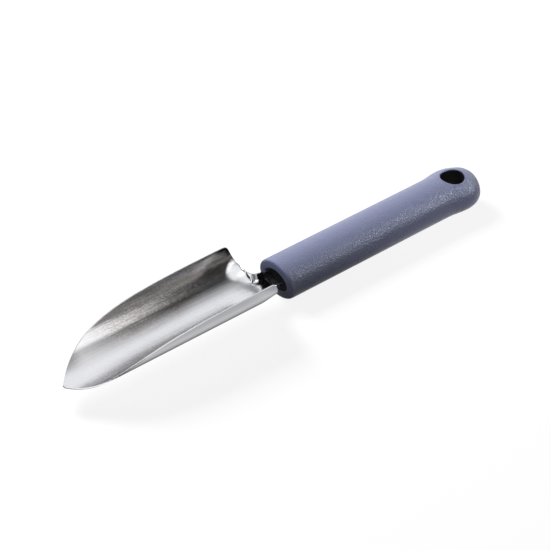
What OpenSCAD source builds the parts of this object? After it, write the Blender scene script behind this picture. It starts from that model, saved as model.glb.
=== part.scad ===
// Hand trowel with a pointed half-pipe blade.
// Blade, channel neck and tang are one steel pressing. A hard core is moulded round the tang,
// and the grip is moulded over the core.
// The frame has +X from the tip to the butt and +Z up. The origin lies under the middle of the part,
// on the surface that it rests on.

/* [Blade] */
// Reach of the blade in front of the grip
blade_reach = 113.4; // [90:0.1:150]
// Outside radius of the half-pipe
trough_r = 17.5; // [14:0.1:22]
// Thickness of the steel sheet
sheet_t = 0.7; // [0.5:0.05:1.2]
// Angle round the half-pipe from the keel to the rim
rim_angle = 88.5; // [70:0.5:90]
// Length over which the walls rise behind the tip
tip_run = 18.7; // [12:0.1:26]
// Half-width of the blunted tip
tip_blunt = 0.6; // [0.4:0.1:2]
// Height by which the tip curls up
tip_lift = 1.9; // [0:0.1:5]
// Length over which the keel curls up to the tip
lift_run = 24; // [15:0.5:40]
// Gap from the grip to the rear corners of the walls
shoulder_gap = 14.2; // [12.5:0.1:20]
// Length that sets how steeply the rear edges fall to the neck
rear_run = 1.4; // [1:0.05:2]
// Depth of the keel below the grip's centre line
keel_drop = 1.15; // [0.5:0.05:2]

/* [Neck and tang] */
// Width of the channel's floor between its creases
neck_w = 8.8; // [7:0.1:11]
// Length of plain channel in front of the grip
neck_len = 5; // [3:0.1:8]
// Distance from the grip to the start of the creases
crease_start = 11.5; // [9:0.1:12.5]
// Height of the tang's upturned flanges along their slope
flange_h = 3.1; // [2.5:0.1:4]
// Height that the flanges gain along the plain channel
flange_gain = 1.2; // [0:0.1:2]
// Lean of the flanges, outward from upright
flange_lean = 12; // [0:1:25]
// Length of sheet taken up by the bend of each crease
crease_run = 1.4; // [1:0.1:2]
// Length of the tang inside the handle
tang_len = 62; // [54:1:70]
// Diameter of the lock holes in the tang
lock_d = 4; // [3:0.1:5]
// Distance from the grip's front to the first lock hole
lock_start = 20; // [12:1:26]
// Distance between the lock holes
lock_pitch = 27; // [16:1:30]

/* [Grip] */
// Length of the grip
grip_len = 119.2; // [112:0.1:150]
// Width of the grip
grip_w = 24; // [22:0.1:26]
// Thickness of the grip
grip_t = 17.1; // [16:0.1:22]
// Radius of the rounded front edge
nose_r = 1.5; // [0.8:0.1:2.5]
// Width across the round butt
butt_w = 26.8; // [24:0.1:34]
// Length of the widening in front of the hang hole
butt_flare = 11; // [8:0.5:16]
// Diameter of the hang hole
hang_d = 11.5; // [8:0.1:13]
// Distance from the butt's end to the centre of the hang hole
hang_inset = 12.9; // [11.5:0.1:16]

/* [Core] */
// Wall of the core beside the tang
core_wall = 1.9; // [1.2:0.1:3]
// Least wall of the core over the edges of the flanges
core_lip = 0.5; // [0.3:0.05:0.8]
// Depth of the core's front behind the grip's front
core_setback = 0.5; // [0.2:0.1:2]
// Wall of the core's eye round the hang hole
eye_wall = 2.8; // [2:0.1:4]
// Thickness of the grip over the core's eye
skin_t = 1; // [0.8:0.1:2]
// Depth of the key grooves round the core
groove_depth = 0.8; // [0.4:0.1:1.2]
// Length of each key groove, and of the ridge in front of it
groove_len = 6; // [4:0.5:8]
// Gap that shrinkage leaves between the moulded pieces
mould_gap = 0.04; // [0.02:0.01:0.1]

/* [Hidden] */

// Places along the part, and the heights of the grip's centre line and of the keel's mid surface
face_x = (blade_reach - grip_len) / 2;
tip_x = face_x - blade_reach;
butt_x = face_x + grip_len;
hang_x = butt_x - hang_inset;
grip_z = grip_t / 2;
keel_z = grip_z - keel_drop + sheet_t / 2;

// Edge outline of the trough. The rear edges fall from an angle above the rim to one near the neck,
// and a high power keeps the corner between rim and rear edge tight
mid_r = trough_r - sheet_t / 2;
tip_angle = asin(tip_blunt / mid_r);
over_angle = 100;
rear_angle = 34;
fall_x = face_x - shoulder_gap + rear_run * ln((rim_angle - rear_angle) / (over_angle - rim_angle));
corner_power = 20;

// Steps of the lofted skins
floor_n = 8;
bend_n = 4;
flange_n = 4;
half_n = floor_n + bend_n + flange_n;
rise_n = 22;
rise_power = 1.7;
fall_n = 30;
nose_n = 5;
flare_n = 8;
butt_n = 11;
oval_n = 48;

// Roundness of the butt in plan and from the side: 2 is an ellipse, and more is squarer.
// The sweep stops short of a right angle, so that the end closes with a small flat
butt_power_w = 2.2;
butt_power_t = 3.2;
butt_sweep = 88;

lock_count = 2;
groove_count = 2;
cut_past = 1;

function mix(a, b, k) = a + (b - a) * k;
function smooth(t) = let(c = min(1, max(0, t))) c * c * (3 - 2 * c);

// Angle round the half-pipe to the sheet's edge: rising behind the tip, falling at the rear
function rise(x) = mix(rim_angle, tip_angle, exp((tip_x - x) / tip_run));
function fall(x) = mix(over_angle, rear_angle, 1 / (1 + exp((fall_x - x) / rear_run)));
function edge_angle(x) =
    pow(pow(rise(x), -corner_power) + pow(fall(x), -corner_power), -1 / corner_power);

// Half of the channel's mid line, from the keel round the crease to the flange's edge
function channel(extra = 0) =
    let(half = neck_w / 2, bend = crease_run / 2, up = [sin(flange_lean), cos(flange_lean)])
    concat(
        [for (i = [0:floor_n - 1]) [(half - bend) * i / floor_n, 0]],
        [for (i = [0:bend_n])
            let(k = i / bend_n)
            mix(mix([half - bend, 0], [half, 0], k), mix([half, 0], [half, 0] + up * bend, k), k)],
        [for (i = [1:flange_n]) [half, 0] + up * mix(bend, flange_h + extra, i / flange_n)]
    );
function run(path, j) = j == 0 ? 0 : run(path, j - 1) + norm(path[j] - path[j - 1]);

neck_path = channel();
neck_share = [for (j = [0:half_n]) run(neck_path, j) / run(neck_path, half_n)];

// Half of the sheet's mid line at x: an arc of the half-pipe, pressed into the channel at the neck
function arc_point(angle) = mid_r * [sin(angle), 1 - cos(angle)];
function pressed(x) = smooth((x - face_x + crease_start) / (crease_start - neck_len));
function gain(x) = flange_gain * smooth((face_x - x) / neck_len);
function half_line(x) =
    let(path = channel(gain(x)), angle = edge_angle(x), k = pressed(x))
    [for (j = [0:half_n]) mix(arc_point(angle * neck_share[j]), path[j], k)];

// Rise of the keel towards the tip
function lift(x) = tip_lift * pow(max(0, 1 - (x - tip_x) / lift_run), 2);

// Closed outline of a sheet that follows half a mid line and its mirror image
function sheet_outline(half, thick) =
    let(
        last = len(half) - 1,
        line = [for (j = [-last:last]) [sign(j) * half[abs(j)].x, half[abs(j)].y]],
        end = 2 * last,
        side = [for (i = [0:end])
            let(t = line[min(end, i + 1)] - line[max(0, i - 1)]) [-t.y, t.x] / norm(t) * thick / 2]
    )
    concat([for (i = [0:end]) line[i] - side[i]], [for (i = [end:-1:0]) line[i] + side[i]]);

// Places of the blade's rings: closer towards the tip, then even from just before the rear corners
rim_end_x = face_x - shoulder_gap - 2 * rear_run;
blade_stations = concat(
    [for (i = [0:rise_n - 1]) mix(tip_x, rim_end_x, pow(i / rise_n, rise_power))],
    [for (i = [0:fall_n]) mix(rim_end_x, face_x, i / fall_n)],
    [face_x + tang_len]
);
blade_rings = [for (x = blade_stations)
    [for (p = sheet_outline(half_line(x), sheet_t)) [x, p.x, keel_z + lift(x) + p.y]]];

lock_holes = [for (i = [0:lock_count - 1]) face_x + lock_start + lock_pitch * i];

// Ring of the grip at x, with its half-width and half-thickness
function grip_ring(x, w, t) =
    [for (i = [0:oval_n - 1])
        let(a = (i + 0.5) * 360 / oval_n) [x, w * cos(a), grip_z + t * sin(a)]];
function round_off(k, power) = pow(1 - pow(k, power), 1 / power);

// Rings of the grip's skin, or of a surface that lies under it by depth
function grip_rings(depth = 0) =
    let(w = grip_w / 2 - depth, t = grip_t / 2 - depth, butt = butt_w / 2 - depth)
    concat(
        [for (i = [0:nose_n])
            let(a = 90 * i / nose_n, inset = nose_r * (1 - sin(a)))
            grip_ring(face_x + depth + nose_r * (1 - cos(a)), w - inset, t - inset)],
        [for (i = [0:flare_n])
            let(k = i / flare_n)
            grip_ring(hang_x - butt_flare * (1 - k), mix(w, butt, smooth(k)), t)],
        [for (i = [1:butt_n])
            let(k = sin(butt_sweep * i / butt_n))
            grip_ring(
                hang_x + (hang_inset - depth) * k,
                butt * round_off(k, butt_power_w),
                t * round_off(k, butt_power_t)
            )]
    );

// Core section: an ellipse with the core's wall beside the tang, and its lip over the flanges' edges
tang_half = neck_w / 2 + flange_h * sin(flange_lean) + sheet_t / 2;
tang_top = keel_z - grip_z + flange_h * cos(flange_lean);
core_a = tang_half + core_wall;
core_b = (tang_top + core_lip) / sqrt(1 - pow((tang_half + core_lip) / core_a, 2));
eye_r = hang_d / 2 + eye_wall;

// Solid skinned over rings of equal length
module loft(rings) {
    count = len(rings[0]);
    last = len(rings) - 1;
    points = [for (ring = rings) for (p = ring) p];
    walls = [for (r = [0:last - 1]) for (i = [0:count - 1])
        let(a = r * count + i, b = r * count + (i + 1) % count)
        each [[a, a + count, b], [b, a + count, b + count]]];
    caps = [for (i = [0:count / 2 - 2])
        let(c = count - 1 - i, e = last * count)
        each [[i, i + 1, c], [i + 1, c - 1, c], [e + i, e + c, e + i + 1], [e + i + 1, e + c, e + c - 1]]];
    polyhedron(points, concat(walls, caps));
}

// Prism along X from one place to another, with the section's Y and Z in the sketch
module prism_x(from, to) {
    translate([from, 0, 0])
        rotate([90, 0, 90])
            linear_extrude(to - from)
                children();
}

module core_oval(grow) {
    translate([0, grip_z])
        polygon([for (i = [0:oval_n - 1])
            let(a = (i + 0.5) * 360 / oval_n) [(core_a + grow) * cos(a), (core_b + grow) * sin(a)]]);
}

module hang_cylinder(r) {
    translate([hang_x, 0, -cut_past])
        cylinder(r = r, h = grip_t + 2 * cut_past, $fn = 64);
}

module lock_cylinders(d) {
    for (x = lock_holes)
        translate([x, 0, keel_z - cut_past])
            cylinder(d = d, h = 2 * cut_past, $fn = 32);
}

// Outside of the core, grown for the space that it takes in the grip
module core_outside(from, grow = 0) {
    difference() {
        prism_x(from, hang_x)
            core_oval(grow);
        for (i = [0:groove_count - 1]) {
            start = face_x + tang_len + groove_len * (1 + 2 * i);
            prism_x(start + grow, start + groove_len - grow)
                difference() {
                    core_oval(grow + cut_past);
                    core_oval(grow - groove_depth);
                }
        }
    }
    intersection() {
        loft(grip_rings(skin_t - grow));
        hang_cylinder(eye_r + grow);
    }
}

// Space of the tang in the core, with the pegs that fill its lock holes left standing
module tang_space() {
    difference() {
        prism_x(face_x - cut_past, face_x + tang_len + mould_gap)
            translate([0, keel_z])
                polygon(sheet_outline(channel(mould_gap), sheet_t + 2 * mould_gap));
        lock_cylinders(lock_d - 2 * mould_gap);
    }
}

module blade() {
    color("silver")
        difference() {
            loft(blade_rings);
            lock_cylinders(lock_d);
        }
}

module handle_core() {
    color([0.09, 0.09, 0.1])
        difference() {
            core_outside(face_x + core_setback);
            tang_space();
            hang_cylinder(hang_d / 2);
        }
}

module grip() {
    color([0.42, 0.44, 0.56])
        difference() {
            loft(grip_rings());
            core_outside(face_x - cut_past, mould_gap);
            hang_cylinder(hang_d / 2);
        }
}

blade();
handle_core();
grip();
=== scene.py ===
from math import asin, atan2, cos, exp, log, pi, radians, sin, sqrt, tau

import bmesh
import bpy
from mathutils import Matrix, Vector


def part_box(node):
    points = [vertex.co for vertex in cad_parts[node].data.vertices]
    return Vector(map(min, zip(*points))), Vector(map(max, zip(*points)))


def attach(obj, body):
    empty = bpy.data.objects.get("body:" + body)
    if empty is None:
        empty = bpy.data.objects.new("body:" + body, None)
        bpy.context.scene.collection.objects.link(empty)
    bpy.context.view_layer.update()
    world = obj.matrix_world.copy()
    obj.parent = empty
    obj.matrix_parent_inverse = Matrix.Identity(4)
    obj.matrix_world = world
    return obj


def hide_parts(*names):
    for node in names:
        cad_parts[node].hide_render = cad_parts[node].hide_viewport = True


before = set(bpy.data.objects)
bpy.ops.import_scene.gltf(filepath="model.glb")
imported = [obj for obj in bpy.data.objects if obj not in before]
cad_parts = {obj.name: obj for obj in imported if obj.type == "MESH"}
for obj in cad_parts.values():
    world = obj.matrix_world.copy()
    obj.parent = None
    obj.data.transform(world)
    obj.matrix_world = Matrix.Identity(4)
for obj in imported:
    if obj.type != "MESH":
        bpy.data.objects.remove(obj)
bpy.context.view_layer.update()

# Camera
# A long lens looks down along the part from the tip's side, as in a catalogue picture.
# It aims close to the middle of the part, and the picture is taken to be square.
mm = 0.001
aim = Vector((-0.9, 2.9, 8.55)) * mm
view_turn = radians(-39.187)
view_rise = radians(38.523)
view_reach = 892.2 * mm
back = Vector((sin(view_turn) * cos(view_rise), -cos(view_turn) * cos(view_rise), sin(view_rise)))
bpy.ops.object.camera_add(location=aim + back * view_reach, rotation=(pi / 2 - view_rise, 0, view_turn))
camera = bpy.context.object
camera.data.sensor_width = 36
camera.data.lens = 131.56
camera.data.clip_end = 30
bpy.context.scene.camera = camera
bpy.context.scene.view_settings.view_transform = "Standard"


# Floor
# A wide sheet of pale card under the part. It shows white to the camera and to polished metal,
# and it keeps the part's soft shadow.
class Wire:
    """An output of a shader node. An expression on wires and numbers adds its Math nodes."""

    def __init__(self, tree, socket=None):
        self.tree = tree
        self.socket = socket

    def feed(self, made, inputs):
        for name, value in inputs.items():
            if isinstance(value, Wire):
                self.tree.links.new(value.socket, made.inputs[name])
            else:
                made.inputs[name].default_value = value

    def node(self, kind, settings={}, inputs={}, output=0):
        made = self.tree.nodes.new("ShaderNode" + kind)
        for name, value in settings.items():
            setattr(made, name, value)
        self.feed(made, inputs)
        return Wire(self.tree, made.outputs[output] if made.outputs else None)

    def axis(self, name):
        return self.node("SeparateXYZ", {}, {"Vector": self}, name)

    def ramp(self, start, stop):
        """0 where this value is at start and 1 at stop, with a soft change between."""
        settings = {"interpolation_type": "SMOOTHSTEP"}
        return self.node("MapRange", settings, {"Value": self, "From Min": start, "From Max": stop})

    def math(self, operation, first, second):
        return self.node("Math", {"operation": operation}, {0: first, 1: second})

    def __add__(self, other):
        return self.math("ADD", self, other)

    def __radd__(self, other):
        return self.math("ADD", other, self)

    def __sub__(self, other):
        return self.math("SUBTRACT", self, other)

    def __rsub__(self, other):
        return self.math("SUBTRACT", other, self)

    def __mul__(self, other):
        return self.math("MULTIPLY", self, other)

    def __rmul__(self, other):
        return self.math("MULTIPLY", other, self)


def seen_directly(wire):
    """1 for the rays that show the background: from the camera, off metal and through glass."""
    camera_ray = wire.node("LightPath", output="Is Camera Ray")
    glossy_ray = wire.node("LightPath", output="Is Glossy Ray")
    clear_ray = wire.node("LightPath", output="Is Transmission Ray")
    return camera_ray + glossy_ray + clear_ray


def bare_material(name):
    """A new material with no nodes, and the wire that adds them."""
    material = bpy.data.materials.new(name)
    material.use_nodes = True
    material.node_tree.nodes.clear()
    return material, Wire(material.node_tree)


floor_card, wire = bare_material("floor_card")
card = wire.node("BsdfDiffuse", {}, {"Color": (0.12, 0.12, 0.12, 1)})
pale = wire.node("BsdfDiffuse", {}, {"Color": (0.2, 0.2, 0.2, 1)})
glow = wire.node("Emission", {}, {"Color": (1, 1, 1, 1), "Strength": 0.87})
white = wire.node("AddShader", {}, {0: pale, 1: glow})
shown = wire.node("MixShader", {}, {0: seen_directly(wire), 1: card, 2: white})
wire.node("OutputMaterial", {}, {"Surface": shown})

bpy.ops.object.select_all(action="DESELECT")
bpy.ops.mesh.primitive_plane_add(size=8)
floor = bpy.context.object
floor.name = "floor"
floor.data.materials.append(floor_card)

# Studio light
# A white room with a soft key lamp behind the part and two small lamps at the butt. Round the part is
# a hood that only shiny surfaces show, with a bright panel at the back and dark cloth in front. The dark
# flags round the camera, on the ground and at the neck, and a grey net by the lip, work the same way.
# The ones on the ground, at the neck and by the lip paint shadow and shade into what the part reflects.
world = bpy.data.worlds.new("white_room")
bpy.context.scene.world = world
world.use_nodes = True
world.node_tree.nodes.clear()
wire = Wire(world.node_tree)
dim = wire.node("Background", {}, {"Color": (1, 1, 1, 1), "Strength": 0.06})
white = wire.node("Background", {}, {"Color": (1, 1, 1, 1), "Strength": 1})
room = wire.node("MixShader", {}, {0: seen_directly(wire), 1: dim, 2: white})
wire.node("OutputWorld", {}, {"Surface": room})


def aim_lamp(lamp, target):
    lamp.rotation_euler = (Vector(target) - lamp.location).to_track_quat("-Z", "Y").to_euler()


bpy.ops.object.light_add(type="AREA", location=(-0.03, 0.51, 0.43))
key = bpy.context.object
key.name = "key_lamp"
key.data.shape = "SQUARE"
key.data.size = 0.3
key.data.energy = 6.5
key.visible_glossy = False
aim_lamp(key, (0, 0, 0))

bpy.ops.object.light_add(type="AREA", location=(0.48, -0.17, 0.36))
ridge = bpy.context.object
ridge.name = "ridge_lamp"
ridge.data.shape = "RECTANGLE"
ridge.data.size = 0.2
ridge.data.size_y = 0.12
ridge.data.energy = 2.5
ridge.data.color = (0.77, 0.82, 1)
ridge.visible_diffuse = False
aim_lamp(ridge, (0.08, 0, 0))

bpy.ops.object.light_add(type="SPOT", location=(0.24, -0.34, 0.2))
butt = bpy.context.object
butt.name = "butt_lamp"
butt.data.spot_size = radians(24)
butt.data.spot_blend = 1
butt.data.shadow_soft_size = 0.05
butt.data.energy = 1.8
butt.visible_glossy = False
aim_lamp(butt, (0.095, -0.012, 0.008))

hood_cloth, wire = bare_material("hood_cloth")
place = wire.node("TexCoord", output="Object")
along = place.axis("X")
ahead = place.axis("Y") * -1
high = place.axis("Z")
lean = wire.math("ARCTAN2", ahead, high)
roof = wire.node("MapRange", {}, {"Value": lean, "From Min": radians(-12), "From Max": radians(31)})
strip = lean.ramp(radians(46), radians(32))
bend = along.ramp(0.135, 0.17)
roof = roof * (roof + (1 - roof) * bend)
side = along.ramp(0.108, 0.155)
west = along.ramp(0.11, 0.06)
far = along.ramp(0.215, 0.275)
panel = lean.ramp(radians(0), radians(-26))
front = lean.ramp(radians(38), radians(50))
veil = roof * (1 - 0.75 * far) * (1 - west) * (strip * 0.6 * (1 - side) + side)
clear = wire.node("BsdfTransparent")
dark = wire.node("Emission", {}, {"Color": (0.03, 0.027, 0.025, 1)})
cloth = wire.node("MixShader", {}, {0: veil, 1: clear, 2: dark})
lamp = wire.node("Emission", {}, {"Color": (1, 1, 1, 1), "Strength": 1.2})
lit = wire.node("AddShader", {}, {0: cloth, 1: lamp})
shine = (1 - (1 - panel) * (1 - west)) * 0.42 + front * (1 - side) * 1.1
hung = wire.node("MixShader", {}, {0: shine, 1: cloth, 2: lit})
wire.node("OutputMaterial", {}, {"Surface": hung})

bpy.ops.object.select_all(action="DESELECT")
bpy.ops.mesh.primitive_cylinder_add(
    vertices=96, radius=0.4, depth=4, end_fill_type="NOTHING", rotation=(0, pi / 2, 0)
)
bpy.ops.object.transform_apply(rotation=True)
hood = bpy.context.object
hood.name = "hood"
hood.data.materials.append(hood_cloth)


def dark_cloth(name, grey):
    """Cloth of one even, dark grey."""
    cloth, wire = bare_material(name)
    shown = wire.node("Emission", {}, {"Color": (grey, grey, grey, 1)})
    wire.node("OutputMaterial", {}, {"Surface": shown})
    return cloth


camera_cloth = dark_cloth("camera_cloth", 0.03)
camera_flag_reach = 0.39
bpy.ops.object.select_all(action="DESELECT")
bpy.ops.mesh.primitive_circle_add(
    vertices=48,
    radius=0.18,
    fill_type="NGON",
    location=aim + back * camera_flag_reach,
    rotation=camera.rotation_euler,
)
camera_flag = bpy.context.object
camera_flag.name = "camera_flag"
camera_flag.data.materials.append(camera_cloth)

ground_cloth_and_shadow, wire = bare_material("ground_cloth_and_shadow")
place = wire.node("TexCoord", output="Object")
along = place.axis("X")
ahead = place.axis("Y") * -1
side = along.ramp(-0.02, 0.03)
front = ahead.ramp(0.02, 0.08)
clear = wire.node("BsdfTransparent")
dark = wire.node("Emission", {}, {"Color": (0.1, 0.095, 0.09, 1)})
behind = ahead.ramp(0.021, 0.005)
left = along.ramp(0.004, -0.006)
right = along.ramp(0.05, 0.1)
grey = ahead.ramp(0.015, 0.03)
start = along.ramp(-0.012, 0.002)
stop = along.ramp(0.075, 0.035)
near = ahead.ramp(0.07, 0.03)
# Painted shadow: besides the dark ground in front to the right, the flag darkens under the blade, just
# in front of it and under the front of the grip, so the part reflects its own shadow there.
lift = (1 - side * front * (1 - right * 0.8)) * (1 - start * stop * near * 0.55)
lift = lift * (1 - behind * left * 0.95) * (1 - grey * left * 0.25)
cloth = wire.node("MixShader", {}, {0: lift, 1: dark, 2: clear})
wire.node("OutputMaterial", {}, {"Surface": cloth})
bpy.ops.object.select_all(action="DESELECT")
bpy.ops.mesh.primitive_plane_add(size=1.6, location=(0, 0, 0.5 * mm))
bpy.ops.object.transform_apply(location=True)
ground_flag_and_shadow = bpy.context.object
ground_flag_and_shadow.name = "ground_flag_and_shadow"
ground_flag_and_shadow.data.materials.append(ground_cloth_and_shadow)


def upright_flag(name, cloth, middle_y, middle_z, width, height):
    """A small sheet that stands across the neck, close to the front of the grip, and darkens what the
    steel there reflects.
    """
    bpy.ops.object.select_all(action="DESELECT")
    middle = (flag_x, middle_y, middle_z)
    bpy.ops.mesh.primitive_plane_add(size=1, location=middle, rotation=(0, pi / 2, 0))
    bpy.ops.transform.resize(value=(1, width, height))
    bpy.ops.object.transform_apply()
    flag = bpy.context.object
    flag.name = name
    flag.data.materials.append(cloth)
    return flag


# Painted shade: a near-black sheet stands inside the neck, just in front of the grip, so the neck's
# floor and flanges reflect black there, standing in for the deep shade between the neck and the grip.
flag_x = -6 * mm
neck_shade_cloth = dark_cloth("neck_shade_cloth", 0.004)
neck_shade_flag = upright_flag("neck_shade_flag", neck_shade_cloth, 0.8 * mm, 11.4 * mm, 11.6 * mm, 10.2 * mm)

# Painted shade: a grey see-through sheet stands by the far lip and dims what the steel there reflects.
lip_shade_net, wire = bare_material("lip_shade_net")
thin = wire.node("BsdfTransparent", {}, {"Color": (0.3, 0.29, 0.3, 1)})
wire.node("OutputMaterial", {}, {"Surface": thin})
lip_shade_flag = upright_flag("lip_shade_flag", lip_shade_net, 10.6 * mm, 21 * mm, 5 * mm, 24 * mm)

for cloth in (hood, camera_flag, ground_flag_and_shadow, neck_shade_flag, lip_shade_flag):
    cloth.visible_camera = False
    cloth.visible_diffuse = False
    cloth.visible_shadow = False

# Blade
# One pressing of stainless sheet: a pointed half-pipe, a channel neck and a tang inside the handle.
# The blank is cut to its outline and pressed, and then polished along its length.
blade_low, blade_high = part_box("blade")
grip_low, grip_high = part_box("grip")
sheet = 0.7 * mm
tip_x = blade_low.x + 0.1 * mm
face_x = grip_low.x
tang_x = blade_high.x
keel_z = blade_low.z + sheet / 2
pipe_r = (blade_high.y - blade_low.y) / 2 - sheet / 2

rim_turn = radians(88.3)
tip_turn = asin(0.6 * mm / pipe_r)
tip_run = 19.8 * mm
tip_power = 1.08
tip_lift = 1.3 * mm
lift_run = 16 * mm
squareness = 2.1
over_turn = radians(100)
rear_turn = radians(34)
rear_run = 1.4 * mm
corner_x = face_x - 14.2 * mm
corner_power = 20
rear_x = face_x - 26 * mm
lip_x = face_x - 10 * mm
neck_x = face_x - 6 * mm
lag = 5 * mm
lag_x = face_x - 30 * mm
lag_run = 14 * mm
flat_x = face_x - 11 * mm
flat_run = 6 * mm


def mix(a, b, k):
    return a + (b - a) * k


def smooth(t):
    t = min(1, max(0, t))
    return t * t * (3 - 2 * t)


def edge_turn(x):
    """Angle round the half-pipe, from the keel to the sheet's edge."""
    rise = mix(rim_turn, tip_turn, exp(-(((x - tip_x) / tip_run) ** tip_power)))
    fall_x = corner_x + rear_run * log((rim_turn - rear_turn) / (over_turn - rim_turn))
    fall = mix(over_turn, rear_turn, 1 / (1 + exp((fall_x - x) / rear_run)))
    return (rise**-corner_power + fall**-corner_power) ** (-1 / corner_power)


dent_x = face_x - 10.6 * mm
dent_y = 4.7 * mm
dent_run = 0.6
dent_rise = 0.8
dent_slope = 0.24
dent_round = 0.12
dent_reach = 6.2 * mm
dent_fade = 5.5 * mm
dent_start = 1.2 * mm


def dent(x, y):
    """Depth of the fan-shaped mark that the press leaves where each wall turns in to the neck."""
    across = x - dent_x
    up = y - dent_y
    turn = atan2(dent_rise * up + dent_run * across, dent_run * up - dent_rise * across)
    spread = (turn + sqrt(turn**2 + dent_round**2)) / 2
    reach = sqrt(across**2 + up**2)
    inside = smooth(up / dent_start) * (1 - smooth((reach - dent_reach) / dent_fade))
    return dent_slope * spread * reach * inside


def floor_point(x, y):
    """Point of the trough's floor, which flattens towards the neck."""
    drop = (1 - min(1, y / pipe_r) ** squareness) ** (1 / squareness)
    flat = smooth((x - flat_x) / flat_run)
    plain = Vector((x, y, pipe_r * (1 - drop) * (1 - flat)))
    inward = Vector((0, -((y / pipe_r) ** (squareness - 1)), drop ** (squareness - 1)))
    return plain + dent(x, y) * inward.normalized()


def trough_point(x, share):
    """Point of the row that ends at x on the edge. The rows bow forward near the neck."""
    bow = lag * smooth((x - lag_x) / lag_run) * (1 - share * share)
    aside = (1 - cos(edge_turn(x) * share) ** squareness) ** (1 / squareness)
    point = floor_point(x - bow, pipe_r * aside)
    point.z += tip_lift * max(0, 1 - (x - tip_x) / lift_run) ** 2
    return point


def cubic(a, b, c, d, k):
    ab = a.lerp(b, k)
    bc = b.lerp(c, k)
    cd = c.lerp(d, k)
    return ab.lerp(bc, k).lerp(bc.lerp(cd, k), k)


face = Vector((face_x, 0, 0))
fold_points = [(-10.6, 12, 0), (-11.6, 9.4, 0), (-11, 3.8, 0), (-6, 3.1, 0)]
fold_line = [Vector(p) * mm + face for p in fold_points]
edge_points = [(-9, 5.9, 4.4), (-6, 5.6, 4)]
edge_step = 0.1 * mm
edge_pull = 15
lip_start = trough_point(lip_x, 1)
edge_line = [lip_start, lip_start + edge_pull * (lip_start - trough_point(lip_x - edge_step, 1))]
edge_line += [Vector(p) * mm + face for p in edge_points]
tang_fold = 3.6 * mm
tang_edge = Vector((0, 5.04, 3.03)) * mm
fold_share = 0.6
fold_at = 0.75


def bent_point(centre_x, fold, edge, share):
    """Point of a row that runs along the floor to the fold and then up the lip to the edge."""
    if share <= fold_share:
        k = share / fold_share
        return floor_point(mix(centre_x, fold.x, k * k), pipe_r * sin(asin(fold.y / pipe_r) * k))
    k = (share - fold_share) / (1 - fold_share)
    way = Vector((edge.x - fold.x, edge.y - fold.y))
    start = floor_point(fold.x, fold.y)
    before = floor_point(fold.x - way.x * 0.02, fold.y - way.y * 0.02)
    corner = start + (start - before).normalized() * way.length * fold_at
    return start.lerp(corner, k).lerp(corner.lerp(edge, k), k)


def lip_point(k, share):
    """Point of a row across the curved start of the lip."""
    centre_x = mix(lip_x - lag, neck_x, k)
    return bent_point(centre_x, cubic(*fold_line, k), cubic(*edge_line, k), share)


def tang_point(x, share):
    """Point of a row across the channel neck or the tang."""
    k = smooth((x - neck_x) / (face_x - neck_x))
    fold = Vector((x, mix(fold_line[3].y, tang_fold, k), 0))
    edge = Vector((x, mix(edge_line[3].y, tang_edge.y, k), mix(edge_line[3].z, tang_edge.z, k)))
    return bent_point(x, fold, edge, share)


edge_gap = 0.2 * mm
side_columns = 60
fine_steps = 160
trough_rows = 70
rear_rows = 90
lip_rows = 60
tang_rows = 22
rows = [(trough_point, tip_x), (trough_point, tip_x + edge_gap)]
for i in range(1, trough_rows):
    rows.append((trough_point, mix(tip_x + edge_gap, rear_x, (i / trough_rows) ** 1.6)))
for i in range(rear_rows + 1):
    rows.append((trough_point, mix(lip_x, rear_x, (1 - i / rear_rows) ** 1.2)))
for i in range(1, lip_rows + 1):
    rows.append((lip_point, i / lip_rows))
for i in range(1, tang_rows + 1):
    rows.append((tang_point, mix(neck_x, tang_x - edge_gap, (i / tang_rows) ** 2)))
rows.append((tang_point, tang_x))


def even_row(point_at, place):
    """Points of one row at even steps from the keel, with a narrow last step at the edge."""
    points = [point_at(place, i / fine_steps) for i in range(fine_steps + 1)]
    lengths = [0]
    for a, b in zip(points, points[1:]):
        lengths.append(lengths[-1] + (b - a).length)
    inner = lengths[-1] - min(edge_gap, lengths[-1] * 0.3)
    even = []
    i = 0
    for step in range(side_columns):
        wanted = inner * step / (side_columns - 1)
        while lengths[i + 1] < wanted:
            i += 1
        even.append(points[i].lerp(points[i + 1], (wanted - lengths[i]) / (lengths[i + 1] - lengths[i])))
    return even + [points[-1]]


sheet_rows = [even_row(*row) for row in rows]
bpy.ops.object.select_all(action="DESELECT")
bpy.ops.mesh.primitive_grid_add(x_subdivisions=len(rows) - 1, y_subdivisions=2 * side_columns, size=2)
blade = bpy.context.object
blade.name = "blade_pressing"
for vertex in blade.data.vertices:
    row = round((vertex.co.x + 1) / 2 * (len(rows) - 1))
    column = round(vertex.co.y * side_columns)
    point = sheet_rows[row][abs(column)]
    vertex.co = (point.x, point.y if column > 0 else -point.y, keel_z + point.z)

solid = blade.modifiers.new("thickness", "SOLIDIFY")
solid.thickness = sheet
solid.offset = 0
bpy.ops.object.modifier_apply(modifier=solid.name)
round_edge = blade.modifiers.new("round_edge", "BEVEL")
round_edge.width = 0.14 * mm
round_edge.segments = 2
round_edge.limit_method = "ANGLE"
round_edge.angle_limit = radians(60)
round_edge.use_clamp_overlap = False
bpy.ops.object.modifier_apply(modifier=round_edge.name)
bpy.ops.object.shade_smooth_by_angle(angle=radians(40))

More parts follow.
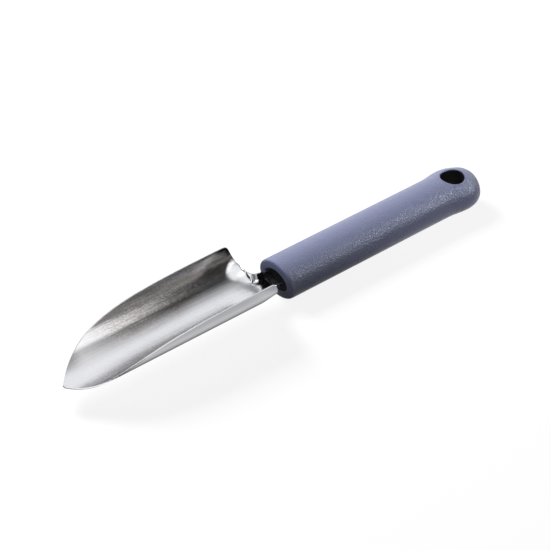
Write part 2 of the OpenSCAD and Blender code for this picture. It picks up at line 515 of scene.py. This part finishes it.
steel = bpy.data.materials.new("satin_steel")
steel.use_nodes = True
wire = Wire(steel.node_tree)
place = wire.node("TexCoord", output="Object")
stretched = wire.node("Mapping", {}, {"Vector": place, "Scale": (0.03, 1, 1)})
lines = wire.node("TexNoise", {}, {"Vector": stretched, "Scale": 5000, "Detail": 3}, "Fac")
streaks = wire.node("TexNoise", {}, {"Vector": stretched, "Scale": 1300, "Detail": 2}, "Fac")
drawn = wire.node("Mapping", {}, {"Vector": place, "Scale": (0.2, 1, 1)})
clouds = wire.node("TexNoise", {}, {"Vector": drawn, "Scale": 450, "Detail": 3}, "Fac")
bump = wire.node("Bump", {}, {"Height": lines + streaks * 2, "Strength": 0.9, "Distance": 0.022 * mm})
across = place.axis("Y")
height = place.axis("Z") - keel_z
aside = wire.math("POWER", wire.math("ABSOLUTE", across, 0) * (1 / pipe_r), squareness)
below = wire.math("POWER", wire.math("ABSOLUTE", pipe_r - height, 0) * (1 / pipe_r), squareness)
inner = (aside + below).ramp(1.012, 0.988)
reach = place.axis("X")
rear = reach.ramp(-52 * mm, -34 * mm)
shoulder = reach.ramp(-24 * mm, -19 * mm)
climb = height * (1 - rear * 0.4) - rear * (1.2 * mm) - shoulder * (2 * mm)
upper = climb.ramp(0.3 * mm, 3.6 * mm)
low = height.ramp(3 * mm, 0.4 * mm)
open_floor = reach.ramp(-13 * mm, -20 * mm)
short = wire.node("Mapping", {}, {"Vector": place, "Scale": (0.5, 1, 1)})
specks = wire.node("TexNoise", {}, {"Vector": short, "Scale": 2000, "Detail": 3}, "Fac")
blend = streaks * 0.2 + clouds * 0.25 + specks * 0.55
mottle = wire.node("MapRange", {}, {"Value": blend, "From Min": 0.35, "From Max": 0.65})
# Painted shade: the inner walls' base colour is darker over their upper part, more so and in random
# blotches towards the rear. It stands in for the dark reflections seen there.
shade_mottle_rearward = reach.ramp(-100 * mm, -68 * mm)
wall = inner * (upper * (mottle * shade_mottle_rearward * 0.9 - shade_mottle_rearward * 0.12 + 0.32) + streaks * 0.2)
bright = (0.565, 0.57, 0.595, 1)
painted_shade_steel = (0.28, 0.264, 0.249, 1)
steel_with_painted_shade = wire.node("Mix", {"data_type": "RGBA"}, {"Factor": wall, 6: bright, 7: painted_shade_steel}, 2)
finish = steel.node_tree.nodes["Principled BSDF"]
wire.feed(finish, {
    "Base Color": steel_with_painted_shade,
    "Metallic": 1,
    "Roughness": lines * 0.08 + low * open_floor * 0.16 + 0.08,
    "Normal": bump,
})
blade.data.materials.append(steel)
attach(blade, "root")
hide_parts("blade")

# Core
# A hard black moulding round the tang. It shows as the dark oval at the front of the handle
# and as the wall of the hang hole.
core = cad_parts["handle_core"]
core_black = bpy.data.materials.new("core_black")
core_black.use_nodes = True
wire = Wire(core_black.node_tree)
place = wire.node("TexCoord", output="Object")
grain = wire.node("TexNoise", {}, {"Vector": place, "Scale": 1500, "Detail": 2}, "Fac")
bump = wire.node("Bump", {}, {"Height": grain, "Strength": 0.1, "Distance": 0.1 * mm})
finish = core_black.node_tree.nodes["Principled BSDF"]
wire.feed(finish, {
    "Base Color": (0.012, 0.011, 0.013, 1),
    "Roughness": grain * 0.2 + 0.35,
    "Specular IOR Level": 0.2,
    "Normal": bump,
})
core.data.materials.clear()
core.data.materials.append(core_black)

# Grip
# A blue-grey plastic skin moulded over the core: an oval bar with a rounded front edge,
# a wider round butt and a hang hole. Its mould is spark-eroded, which leaves a fine matte grain.
butt_x = grip_high.x
grip_z = (grip_low.z + grip_high.z) / 2
grip_t = (grip_high.z - grip_low.z) / 2
grip_w = 12 * mm
butt_w = (grip_high.y - grip_low.y) / 2
hang_inset = 12.9 * mm
hang_x = butt_x - hang_inset
hang_r = 5.75 * mm
butt_flare = 11 * mm
butt_round = 2.2
butt_dome = 3.2
seat_w = 7.34 * mm
seat_t = 4.68 * mm
seat_depth = 80 * mm

# Subdivision draws a ring of points inwards, so each ring starts wider by this share.
ring_points = 24
ring_grow = 6 / (4 + 2 * cos(tau / ring_points))


def half_width(x):
    if x < hang_x:
        return mix(grip_w, butt_w, smooth((x - hang_x + butt_flare) / butt_flare))
    return butt_w * (1 - min(1, (x - hang_x) / hang_inset) ** butt_round) ** (1 / butt_round)


def half_thickness(x):
    return grip_t * (1 - min(1, max(0, (x - hang_x) / hang_inset)) ** butt_dome) ** (1 / butt_dome)


def skin_z(x, y):
    """Height of the grip's top over its middle."""
    return half_thickness(x) * sqrt(max(0, 1 - (y / half_width(x)) ** 2))


hole_block = 8 * mm
hole_cells = 5
rings = [
    (face_x + seat_depth, seat_w, seat_t),
    (face_x + 1.6 * mm, seat_w, seat_t),
    (face_x + 0.5 * mm, seat_w, seat_t),
    (face_x + 0.1 * mm, seat_w + 0.3 * mm, seat_t + 0.3 * mm),
    (face_x, seat_w + 0.9 * mm, seat_t + 0.8 * mm),
    (face_x + 0.2 * mm, grip_w - 1.4 * mm, grip_t - 1.4 * mm),
    (face_x + 0.38 * mm, grip_w - 0.4 * mm, grip_t - 0.4 * mm),
    (face_x + 0.9 * mm, grip_w, grip_t),
    (face_x + 2.1 * mm, grip_w, grip_t),
]
ring_x = [mix(face_x + 5 * mm, hang_x - butt_flare - 3 * mm, i / 10) for i in range(11)]
ring_x += [hang_x - butt_flare + i * mm for i in range(3)]
ring_x += [hang_x + hole_block * (2 * i / hole_cells - 1) for i in range(hole_cells + 1)]
ring_x += [hang_x + mix(hole_block, hang_inset, sin(pi / 2 * i / 7)) for i in range(1, 7)]
rings += [(x, half_width(x), half_thickness(x)) for x in ring_x]

bpy.ops.object.select_all(action="DESELECT")
bpy.ops.mesh.primitive_circle_add(vertices=ring_points, radius=1)
grip = bpy.context.object
grip.name = "grip_skin"
bpy.ops.object.mode_set(mode="EDIT")
bpy.ops.mesh.select_all(action="SELECT")
net = bmesh.from_edit_mesh(grip.data)
first_x, first_w, first_t = rings[0]
for i, vertex in enumerate(net.verts):
    turn = tau * (i + 0.5) / ring_points
    vertex.co = (first_x, first_w * ring_grow * cos(turn), grip_z + first_t * ring_grow * sin(turn))
bpy.ops.mesh.edge_face_add()
for (x0, w0, t0), (x1, w1, t1) in zip(rings, rings[1:]):
    bpy.ops.mesh.extrude_region_move(TRANSFORM_OT_translate={"value": (x1 - x0, 0, 0)})
    bpy.ops.transform.resize(value=(1, w1 / w0, t1 / t0), center_override=(x1, 0, grip_z))

bpy.ops.mesh.select_mode(type="FACE")
net = bmesh.from_edit_mesh(grip.data)
for patch in net.faces:
    middle = patch.calc_center_median()
    patch.select_set(abs(middle.x - hang_x) < hole_block and abs(middle.y) < hole_block)
bpy.ops.mesh.delete(type="FACE")
bpy.ops.mesh.select_mode(type="EDGE")
net = bmesh.from_edit_mesh(grip.data)
for edge in net.edges:
    edge.select_set(edge.is_boundary)

hole_step = tau / (4 * hole_cells)
hole_grow = 6 / (4 + 2 * cos(hole_step))
eye_r = 8.6 * mm


def round_loops(radius, drop):
    """Moves the two picked loops to circles round the hole, at a depth below the skin."""
    net = bmesh.from_edit_mesh(grip.data)
    for vertex in net.verts:
        if vertex.select:
            turn = atan2(vertex.co.y, vertex.co.x - hang_x)
            turn = (round(turn / hole_step - 0.5) + 0.5) * hole_step
            x = hang_x + radius * cos(turn)
            y = radius * sin(turn)
            height = skin_z(x, y) - drop
            vertex.co = (x, y, grip_z + (height if vertex.co.z > grip_z else -height))
    bmesh.update_edit_mesh(grip.data)


round_loops(7.9 * mm, 0)
for radius, drop in [
    (6.8 * mm, 0),
    (6.1 * mm, 0),
    (hang_r * hole_grow, 0.35 * mm),
    (hang_r * hole_grow, 0.98 * mm),
    (eye_r, 0.98 * mm),
]:
    bpy.ops.mesh.extrude_region_move()
    round_loops(radius, drop)
bpy.ops.mesh.bridge_edge_loops()
bpy.ops.mesh.select_all(action="SELECT")
bpy.ops.mesh.normals_make_consistent(inside=False)
bpy.ops.object.mode_set(mode="OBJECT")

round_off = grip.modifiers.new("round", "SUBSURF")
round_off.levels = 2
round_off.render_levels = 2
bpy.ops.object.modifier_apply(modifier=round_off.name)
bpy.ops.object.shade_smooth()

skin = bpy.data.materials.new("grained_skin")
skin.use_nodes = True
wire = Wire(skin.node_tree)
place = wire.node("TexCoord", output="Object")
grain = wire.node("TexNoise", {}, {"Vector": place, "Scale": 1450, "Detail": 2}, "Fac")
bump = wire.node("Bump", {}, {"Height": grain, "Strength": 0.9, "Distance": 0.36 * mm})
finish = skin.node_tree.nodes["Principled BSDF"]
wire.feed(finish, {
    "Base Color": (0.165, 0.184, 0.32, 1),
    "Roughness": grain * 0.12 + 0.24,
    "Normal": bump,
})
grip.data.materials.append(skin)
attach(grip, "root")
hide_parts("grip")
